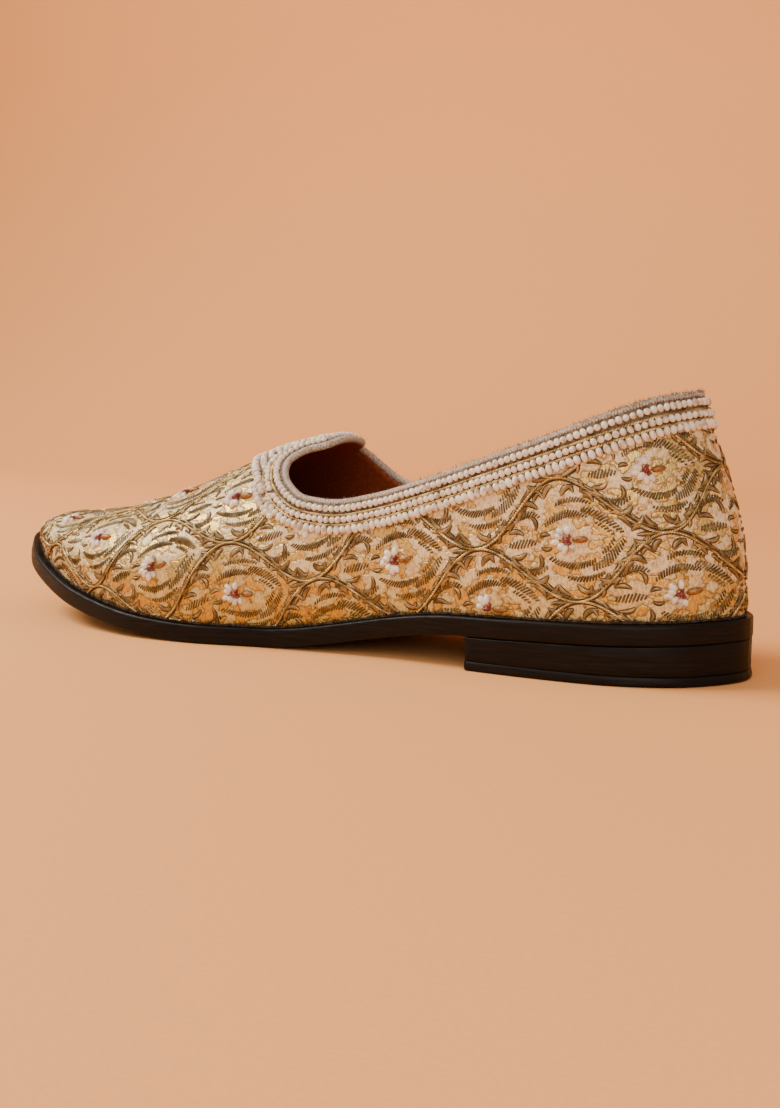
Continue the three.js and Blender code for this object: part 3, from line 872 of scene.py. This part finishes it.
bead_material, nodes, links, shader, _ = spotted("ivory_bead", (0.74, 0.65, 0.54), 0.38, 0, 420, 2, [
    (0.34, (0.48, 0.36, 0.26)), (0.46, (0.82, 0.71, 0.59)), (0.7, (0.95, 0.88, 0.78))])
shader.inputs["Coat Weight"].default_value = 0.3
shader.inputs["Subsurface Weight"].default_value = 0.15
shader.inputs["Subsurface Radius"].default_value = (0.001, 0.0007, 0.0005)
add_bump(nodes, links, shader, noise(nodes, links, 1900, 2, (1, 1, 2.5)), 0.35, 0.0003)

rng = np.random.default_rng(7)
bead_rows = []
placed = np.zeros((0, 3))
QUARTER_TO = 10.5  # the outermost row of the quarters stops here, where the arch takes over
INSTEP_ONLY = 6.0  # the last two rows lie only forward of here
small, raised, large = (1.08, 1.2, 1.0), (1.08, 1.2, 1.1), (1.1, 1.6, 1.15)
# columns: runs, pitch, bead's half-sizes along the row, across it and off the surface
BEAD_PLAN = [
    (offset_rows(3.0), 2.1, small),
    ([(p[p[:, 0] < QUARTER_TO], n[p[:, 0] < QUARTER_TO]) for p, n in offset_rows(9.9)] + [arch_row(1.3)],
     2.25, large),
    (offset_rows(6.6), 2.15, small),
    ([arch_row(inset) for inset in (4.2, 7.1, 9.9, 12.7, 15.5)], 2.2, raised),
    ([(p[p[:, 0] > INSTEP_ONLY], n[p[:, 0] > INSTEP_ONLY]) for d in (9.4, 12.0) for p, n in offset_rows(d)],
     2.2, small),
]
for rows, pitch, size in BEAD_PLAN:
    for path, normal in rows:
        if len(path) < 4:
            continue
        place, t, n = beads_on(path, normal, pitch, placed)
        if not len(place):
            continue
        placed = np.vstack([placed, place])
        vary = rng.uniform(0.88, 1.1, (len(place), 3))
        turn = rng.normal(0.12, 0.16, len(place))
        bead_rows.append(ellipsoids(place + 0.95 * n, t, n, np.array(size) * vary, turn))
beads = add_mesh("collar_beads", *joined(bead_rows), bead_material)
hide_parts("collar_trim")
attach(beads, "root")

gold, nodes, links, shader, _ = spotted("gold_thread", (0.70, 0.47, 0.19), 0.36, 0.8, 260, 4, [
    (0.3, (0.18, 0.115, 0.04)), (0.5, (0.46, 0.33, 0.135)), (0.72, (0.88, 0.70, 0.37))])

cords = []
for distance in (5.2, 8.3):
    for path, normal in offset_rows(distance):
        path = smoothed(path + 0.75 * normal, 4, closed=False)
        both = evenly(np.hstack([path, normal]), int(run_of(path)[-1] / 0.45), closed=False)
        cords.append(twisted(both[:, :3], both[:, 3:], 0.3, 0.34, 1.9, 2, 5))
border_cords = add_mesh("border_cords", *joined(cords), gold)
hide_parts("collar_trim")
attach(border_cords, "root")

# ------------------------------------------------------------
# Pattern of the cloth: a centred lattice of ogee cells, drawn on the unrolled cloth and carried on to
# the last. Columns are half a repeat apart along the shoe and rows half a repeat apart round it. Row 4
# runs along the ridge, and column 0 down the back of the heel.

COLUMN, ROW = 29.5, 18.0  # half a repeat each way
COLUMN_ZERO = -16.0  # the place of column 0, measured round the heel's back
ROW_SHEAR = 3.3  # how much further forward a column stands for each row further down
RIDGE_ROW = 4
HEEL_TURN = 45.0  # behind this station, places are measured along the foot's outline
# height of row 0 above the floor at column 2, and its fall forward of there: straight, then curved
ROW_ZERO, ROW_FALL, ROW_DROOP = 42.0, 3.75, 0.625
# columns: column of the lattice, how much the rows are spread there by lasting
SPREAD = monotone([4, 5, 6, 7, 8, 9, 10], [0.97, 0.97, 0.95, 1.04, 1.06, 0.9, 0.8])

arc_s = np.linspace(LAST_BACK, HEEL_TURN, 400)
arc_run = run_of(np.stack([arc_s, last_halves[0](arc_s)], 1))
arc_place = HEEL_TURN - (arc_run[-1] - arc_run)
girth_s = np.linspace(LAST_BACK + 0.01, LAST_FRONT - 0.05, 420)
girth_g = np.linspace(0, 140, 281)
girth_share = np.linspace(0, 1, 161)
share_tables, girth_totals = {}, {}
for side in (1, -1):
    girth = [run_of(section) for section in on_last(girth_s[:, None], girth_share[None, :], side)]
    girth_totals[side] = np.array([row[-1] for row in girth])
    share_tables[side] = np.array([np.interp(girth_g, row, girth_share) for row in girth])

covered_s = np.linspace(LAST_BACK + 0.01, LAST_FRONT - 0.05, 560)
grid_s, grid_c, grid_points = last_grid(covered_s, 401)
covered = in_opening(grid_s, grid_c)
covered |= under_border(grid_points.reshape(-1, 3), covered.ravel()).reshape(covered.shape)


def on_cloth(column, row, side, height):
    """Points of the upper at lattice columns and rows, lifted by a height, and which of them show."""
    column, row, height = np.broadcast_arrays(np.asarray(column, float), row, height)
    over = row > RIDGE_ROW
    row = np.where(over, 2 * RIDGE_ROW - row, row)
    hand = np.where(over, -side, side)
    from_ridge = RIDGE_ROW - row
    place = COLUMN_ZERO + COLUMN * column + ROW_SHEAR * (4.5 - np.sqrt(from_ridge**2 + 0.25))
    s = np.where(place < HEEL_TURN, np.interp(place, arc_place, arc_s), place)
    visible = (place > arc_place[0]) & (s < LAST_FRONT - 0.4)
    s = np.clip(s, girth_s[0], girth_s[-1])
    total = np.where(hand > 0, *(np.interp(s, girth_s, girth_totals[side]) for side in (1, -1)))
    row_zero = ROW_ZERO - ROW_FALL * (column - 2) - ROW_DROOP * (column - 2) ** 2
    quarter = row_zero + ROW * row - above_sole(s, BASE)[1]
    vamp = total - ROW * SPREAD(column) * from_ridge
    g = quarter + (vamp - quarter) * ease((column - 4.5) / 2)
    visible &= (g > 0.5) & (g < total + 0.01)
    i = (s - girth_s[0]) / (girth_s[1] - girth_s[0])
    j = np.clip(g, 0, 139.9) / (girth_g[1] - girth_g[0])
    i0, j0 = np.minimum(i.astype(int), len(girth_s) - 2), np.minimum(j.astype(int), len(girth_g) - 2)
    fi, fj = i - i0, j - j0
    shares = [(1 - fi) * ((1 - fj) * table[i0, j0] + fj * table[i0, j0 + 1])
              + fi * ((1 - fj) * table[i0 + 1, j0] + fj * table[i0 + 1, j0 + 1])
              for table in (share_tables[1], share_tables[-1])]
    share = np.where(hand > 0, *shares)
    rows, columns = covered.shape
    ci = np.round((s - covered_s[0]) / (covered_s[1] - covered_s[0])).astype(int)
    cj = np.round((1 - hand * (1 - share)) / 2 * (columns - 1)).astype(int)
    visible &= ~covered[np.clip(ci, 0, rows - 1), np.clip(cj, 0, columns - 1)]
    return on_last(s, share, hand, height), visible


def shown_only(points, faces, visible):
    """Leaves out the faces with a corner that doesn't show, and the points nothing uses."""
    return used_only(points, faces[visible[faces].all(1)])


# ------------------------------------------------------------
# Vines: two-ply cords of gold thread couched down along every boundary of the cells, each with a finer
# cord beside it, and under both a strip of dark material as painted shade beside the raised cords.

# Dark material: painted shade for the strips under the vines, and the real dark thread of the curled leaves'
# beds.
dark_thread_and_painted_shade, nodes, links, shader, uneven = spotted("dark_weft_and_painted_shade", (0.09, 0.05, 0.018), 0.65, 0.1, 600, 3, [
    (0.35, (0.030, 0.017, 0.006)), (0.7, (0.10, 0.060, 0.022))])
add_bump(nodes, links, shader, uneven, 0.5, 0.0003)

old_gold, nodes, links, shader, _ = spotted("old_gold_thread", (0.42, 0.28, 0.11), 0.4, 0.7, 300, 3, [
    (0.3, (0.12, 0.075, 0.026)), (0.55, (0.33, 0.22, 0.09)), (0.75, (0.62, 0.47, 0.24))])


def vine_runs(row, side):
    """The visible runs of one wavy vine: a cosine between its row and the next, one crest a repeat."""
    column = np.linspace(-0.3, 10.6, 3600)
    wave = row + (1 + np.cos(np.pi * (column - row % 2))) / 2
    path, visible = on_cloth(column, wave, side, 0.0)
    raised, _ = on_cloth(column, wave, side, 1.0)
    normal = unit(raised - path)
    jumps = np.flatnonzero(np.linalg.norm(np.diff(path, axis=0), axis=1) > 2) + 1
    marks = np.flatnonzero(np.diff(visible.astype(int)) != 0) + 1
    out = []
    for part in np.split(np.arange(len(path)), np.unique(np.concatenate([marks, jumps]))):
        if len(part) < 12 or not visible[part].all():
            continue
        length = run_of(path[part])[-1]
        if length > 3:
            both = evenly(np.hstack([path[part], normal[part]]), int(length / 0.42) + 2, closed=False)
            out.append((both[:, :3], unit(both[:, 3:])))
    return out


ropes, fine, ribbons = [], [], []
# columns: the painted shade strip's edge, middle and other edge, beside the vine and off the cloth
across, lifted = np.array([[-0.8, 0, 1.4], [0.02, 0.12, 0.02]])[:, None, :, None]
for side in (1, -1):
    for row in range(-4, 4):
        for path, normal in vine_runs(row, side):
            b = np.cross(along(path, closed=False), normal)
            ropes.append(twisted(path + 0.36 * normal, normal, 0.22, 0.27, 1.8, 2, 5))
            fine.append(twisted(path + 1.05 * b + 0.22 * normal, normal, 0.12, 0.17, 1.2, 2, 4))
            strip = path[:, None] + across * b[:, None] + lifted * normal[:, None]
            ribbons.append((strip.reshape(-1, 3), grid_faces(len(path), 3)))
vines = add_mesh("vines", *joined(ropes), gold)
side_cords = add_mesh("vine_side_cords", *joined(fine), old_gold)
under_vines = add_mesh("vine_shadows", *joined(ribbons), dark_thread_and_painted_shade)

# ------------------------------------------------------------
# Leaves: broad ones hatched in dark bronze thread, one slanting stitch after another on the open ground,
# and small curled ones filled with old gold over a dark bed that shows as their outline.

# columns: start, bend and end of the spine (towards the heel, then across), width, pitch, mirrored or not
HATCH_ROWS = np.array([
    [-6.5, 4.6, 0.5, 9.6, 7.6, 6.2, 2.2, 0.95, 1],
    [6.0, 8.6, 12.4, 6.8, 17.0, 0.8, 2.7, 1.0, 1],
    [-2.0, 10.4, 4.0, 12.9, 9.6, 9.8, 1.7, 0.95, 1],
    [9.4, 4.6, 12.2, 3.2, 14.2, 0.4, 1.5, 0.95, 1],
    [-19.0, 0.0, -14.5, 0.1, -9.6, 0.0, 2.5, 1.0, 0],
    [-16.4, 6.2, -12.5, 9.9, -7.4, 7.2, 2.2, 1.0, 1],
])
# columns: as above, without the pitch
CURL_ROWS = np.array([
    [-9.5, 3.6, -8.2, 6.4, -10.6, 7.6, 1.1, 1],
    [-13.5, 2.6, -15.5, 4.6, -18.5, 3.4, 1.2, 1],
    [-22.5, 0.8, -20.6, 3.0, -22.8, 4.6, 1.2, 1],
    [-7.8, 9.6, -9.8, 12.4, -13.2, 11.4, 1.5, 1],
    [-5.4, 12.4, -6.4, 15.4, -9.6, 15.2, 1.2, 1],
    [0.6, 12.8, 1.4, 15.6, 5.2, 15.4, 1.4, 1],
    [7.6, 11.8, 10.6, 13.8, 13.2, 11.6, 1.5, 1],
    [14.6, 6.8, 17.8, 7.6, 18.8, 5.0, 1.3, 1],
    [19.4, 1.2, 21.6, 3.4, 24.6, 1.8, 1.3, 1],
    [20.6, 0.0, 23.6, 0.1, 26.6, 0.0, 1.1, 0],
    [-5.2, 1.8, -7.0, 2.8, -8.6, 1.4, 0.9, 1],
])


def vine_curls():
    """Curls that spring from the vines into a cell: one every few millimetres, longer and shorter."""
    spacing, long_reach, tall = 4.6, 3.2, 3.4
    at = np.arange(-25.0, 26.0, spacing)
    foot = ROW * (1 + np.cos(np.pi * at / COLUMN)) / 2 - 1.9
    long = np.where(np.arange(len(at)) % 2, 1.0, 0.68)
    reach = long * np.where(at > 0, 1.0, -1.0)
    rows = np.stack([at, foot, at + 2.6 * reach, foot - 0.2, at + long_reach * reach, foot - tall * long,
                     1.5 * long, np.ones(len(at))], 1)
    return rows[foot - tall * long > 0.6]


def spine_points(row, t):
    """Points and directions of a leaf's spine, a parabola through its start and end."""
    a, b, c = row[0:2], row[2:4], row[4:6]
    t = t[:, None]
    point = (1 - t) ** 2 * a + 2 * t * (1 - t) * b + t**2 * c
    direction = 2 * (1 - t) * (b - a) + 2 * t * (c - b)
    return point, unit(direction)


SLANT = np.radians(58)  # between a stitch and the spine
STITCH_HALF = 0.29
STITCH_ENDS, STITCH_LIFT = np.array([-1.0, -0.45, 0.45, 1.0]), np.array([0.08, 0.4, 0.4, 0.08])


def leaf_stitches(row):
    """The stitches of one leaf in the cell's plane: ridges laid slanting across its spine."""
    length = np.linalg.norm(row[2:4] - row[0:2]) + np.linalg.norm(row[4:6] - row[2:4])
    count = max(3, int(length / row[7]))
    t = (np.arange(count) + 0.5) / count
    point, ahead = spine_points(row, t)
    turn = np.array([[np.cos(SLANT), np.sin(SLANT)], [-np.sin(SLANT), np.cos(SLANT)]])
    across = ahead @ turn
    half = row[6] / 2 * np.sin(np.pi * (0.08 + 0.86 * t)) ** 0.6 / np.sin(SLANT)
    half = half * rng.uniform(0.88, 1.12, count)
    beside = np.stack([-across[:, 1], across[:, 0]], 1)
    flat = (point[:, None, None] + STITCH_ENDS[:, None, None] * (half[:, None] * across)[:, None, None]
            + STITCH_HALF * np.array([-1, 0, 1])[:, None] * beside[:, None, None])
    rise = np.broadcast_to(STITCH_LIFT[:, None] * np.array([0.15, 1, 0.15]), flat.shape[:3])
    faces = grid_faces(4, 3)[None] + (np.arange(count) * 12)[:, None, None]
    return flat.reshape(-1, 2), rise.ravel(), faces.reshape(-1, 4)


def leaf_bed(row, grow, low, high):
    """A leaf's outline filled and slightly domed, a little wider than its stitches."""
    t = np.linspace(0, 1, 10)
    point, ahead = spine_points(row, t)
    half = (row[6] / 2 + grow) * np.sin(np.pi * (0.05 + 0.9 * t)) ** 0.6
    beside = np.stack([-ahead[:, 1], ahead[:, 0]], 1)
    flat = point[:, None] + np.array([-1, 0, 1])[:, None] * half[:, None, None] * beside[:, None]
    rise = np.broadcast_to(np.array([low, high, low]), (10, 3))
    return flat.reshape(-1, 2), rise.ravel(), grid_faces(10, 3)


def mirrored(row):
    """The same leaf on the cell's other side."""
    return row * np.concatenate([[1, -1, 1, -1, 1, -1], np.ones(len(row) - 6)])


CELLS = [(side, column, row) for side in (1, -1) for column in range(11) for row in range(-3, RIDGE_ROW + 1)
         if (column + row) % 2 == 0 and not (row == RIDGE_ROW and side < 0)]


def in_cell(cell, at, height):
    """Points of the upper at places in a cell (towards the heel, across), and which of them show."""
    side, column, row = cell
    return on_cloth(column - at[:, 0] / COLUMN, row + at[:, 1] / ROW, side, height)


def in_every_cell(flat, rise, faces):
    """Lays the flat pieces of one cell, with their heights, into each cell of the cloth, both sides."""
    parts = []
    for cell in CELLS:
        points, visible = in_cell(cell, flat, rise)
        parts.append(shown_only(points, faces, visible))
    return joined([part for part in parts if len(part[1])])


hatch, nodes, links, shader, _ = spotted("hatch_thread", (0.18, 0.12, 0.045), 0.42, 0.5, 350, 3, [
    (0.3, (0.05, 0.032, 0.011)), (0.58, (0.15, 0.098, 0.036)), (0.78, (0.42, 0.30, 0.14))])

hatched = [*HATCH_ROWS, *(mirrored(row) for row in HATCH_ROWS if row[-1])]
curls = [*CURL_ROWS, *vine_curls()]
curls += [mirrored(row) for row in curls if row[-1]]
broad_leaves = add_mesh("hatched_leaves", *in_every_cell(*joined([leaf_stitches(row) for row in hatched])),
                        hatch)
leaf_beds = add_mesh("leaf_beds", *in_every_cell(*joined([leaf_bed(row, 0.3, 0.03, 0.1) for row in curls])),
                     dark_thread_and_painted_shade)
small_leaves = add_mesh("curled_leaves", *in_every_cell(*joined([leaf_bed(row, -0.12, 0.12, 0.5)
                                                                 for row in curls])), old_gold)

# ------------------------------------------------------------
# Flowers: petals of ivory beads in a fan towards the toe, a knot of dark red beads, and a tear-shaped
# boss of bronze thread towards the heel.

red, nodes, links, shader, _ = spotted("red_bead", (0.20, 0.012, 0.018), 0.28, 0, 500, 2, [
    (0.35, (0.13, 0.008, 0.012)), (0.7, (0.30, 0.02, 0.03))])
shader.inputs["Coat Weight"].default_value = 0.5

bronze, nodes, links, shader, wound = spotted("bronze_thread", (0.30, 0.13, 0.035), 0.45, 0.5, 900, 2, [
    (0.35, (0.17, 0.07, 0.02)), (0.65, (0.42, 0.20, 0.06))], (1, 1, 3))
add_bump(nodes, links, shader, wound, 0.5, 0.0004)

# columns: angle from the heel direction in degrees, distance, half-length, half-width, height
PETAL_ROWS = np.array([
    [82, 2.8, 1.5, 1.0, 0.85],
    [122, 3.0, 1.7, 1.1, 0.95],
    [160, 2.7, 1.4, 1.0, 1.1],
    [188, 3.9, 1.5, 1.05, 0.8],
    [216, 2.8, 1.5, 1.1, 1.0],
    [252, 3.0, 1.7, 1.05, 0.9],
    [288, 2.6, 1.3, 0.95, 0.8],
])
RED_ROWS = np.array([
    [0, 0.0, 0.95, 0.9, 1.2],
    [60, 1.15, 0.75, 0.7, 0.9],
    [180, 1.0, 0.7, 0.7, 0.9],
    [300, 1.15, 0.75, 0.7, 0.9],
])
BOSS_ROWS = np.array([[0, 4.0, 2.5, 1.15, 0.85]])
CLEAR_OF_SOLE = np.array([0, 1.8])  # a bead needs this much cloth below it
SUNK = 0.45  # height of a bead's middle above the cloth, as a share of its own half-height


def flower_parts(rows):
    """Beads of every flower: each row is placed round the cell's centre and laid on the surface."""
    parts = []
    for cell in CELLS:
        turn = np.radians(rows[:, 0]) + rng.normal(0, 0.06, len(rows))
        out = np.stack([np.cos(turn), np.sin(turn)], 1)
        at = out * rows[:, 1:2]
        base, visible = in_cell(cell, at, 0.0)
        visible &= in_cell(cell, at - CLEAR_OF_SOLE, 0.0)[1]
        n = unit(in_cell(cell, at, 1.0)[0] - base)
        t = in_cell(cell, at + out * 0.5, 0.0)[0] - base
        t = unit(t - (t * n).sum(1, keepdims=True) * n)
        if visible.any():
            base, t, n, shown = base[visible], t[visible], n[visible], rows[visible]
            size = shown[:, 2:5] * rng.uniform(0.9, 1.1, (len(shown), 3))
            parts.append(ellipsoids(base + SUNK * n * shown[:, 4:5], t, n, size))
    return joined(parts)


petals = add_mesh("petals", *flower_parts(PETAL_ROWS), bead_material)
hearts = add_mesh("flower_hearts", *flower_parts(RED_ROWS), red)
bosses = add_mesh("flower_bosses", *flower_parts(BOSS_ROWS), bronze)
for piece in (vines, side_cords, under_vines, broad_leaves, small_leaves, leaf_beds, petals, hearts, bosses):
    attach(piece, "root")

# ------------------------------------------------------------
# Frayed edge: short dark fibres and a thin dark line where the cloth is tucked under at the sole.

frayed, nodes, links, shader, _ = spotted("frayed_edge", (0.045, 0.028, 0.015), 0.8, 0, 800, 3, [
    (0.4, (0.02, 0.012, 0.007)), (0.75, (0.12, 0.075, 0.035))])
UP = np.array([0.0, 0.0, 1.0])


def fibres(root_at, lean, length, tangent, outward, wide, deep):
    """Thin three-sided spikes, from three points round each root to a tip a length away along its lean."""
    tip = root_at + unit(lean) * length
    points = np.stack([root_at + tangent * wide, root_at - tangent * wide, root_at + outward * deep, tip], 1)
    faces = np.array([[0, 1, 3], [1, 2, 3], [2, 0, 3]])[None] + (np.arange(len(tip)) * 4)[:, None, None]
    return points, faces.reshape(-1, 3)


foot_s = close_at_ends(700, LAST_BACK + 0.02, LAST_FRONT - 0.02)
foot = evenly(np.vstack([on_last(foot_s, 0.0, 1), on_last(foot_s, 0.0, -1)[::-1]]), 1500)
forward = along(foot)
away = np.cross(forward, UP)
if away[np.argmax(foot[:, 1])][1] < 0:
    away = -away
rough_line = smoothed(0.32 + 0.16 * rng.random(len(foot)), 1, 1)
tuck = tube(foot + 0.15 * away + 0.1 * UP, away, rough_line, 6)
count = 6500
pick = rng.integers(0, len(foot), count)
forward, away = forward[pick], away[pick]
root_at = foot[pick] + away * rng.uniform(0.0, 0.5, (count, 1))
lean = forward * rng.normal(0, 0.8, (count, 1)) + away * rng.uniform(0.1, 0.7, (count, 1))
lean[:, 2] += rng.uniform(0.3, 1.2, count)
length = rng.uniform(0.5, 2.1, (count, 1)) ** 1.2
fray_line = add_mesh("tucked_edge", *tuck, frayed)
fray = add_mesh("frayed_fibres", *fibres(root_at, lean, length, forward, away, 0.1, 0.14), frayed,
                smooth=False)
for piece in (fray_line, fray):
    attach(piece, "root")

# ------------------------------------------------------------
# Lint: short grey-brown fibres felted on the edge cord where the heel rubs it, thinning out forward.

felt, nodes, links, shader, _ = spotted("felted_lint", (0.20, 0.14, 0.10), 0.85, 0, 500, 3, [
    (0.4, (0.09, 0.06, 0.045)), (0.7, (0.38, 0.31, 0.25))])
count = 5200
rubbed = np.exp(-(edge_loop[:, 0] + CENTRE) / 34) + 0.06
pick = rng.choice(len(edge_loop), count, p=rubbed / rubbed.sum())
outward, inward, tangent = edge_normal[pick], edge_inward[pick], edge_tangent[pick]
root_at = edge_loop[pick] - outward * rng.uniform(-0.3, 1.2, (count, 1))
root_at -= inward * rng.uniform(-0.9, 0.5, (count, 1))
lean = tangent * rng.normal(0, 0.9, (count, 1)) + outward * rng.normal(0.2, 0.6, (count, 1))
lean -= inward * rng.uniform(0.1, 0.9, (count, 1))
length = rng.uniform(0.5, 1.9, (count, 1))
ruff = add_mesh("edge_lint", *fibres(root_at, lean, length, tangent, outward, 0.09, 0.12), felt, smooth=False)
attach(ruff, "root")
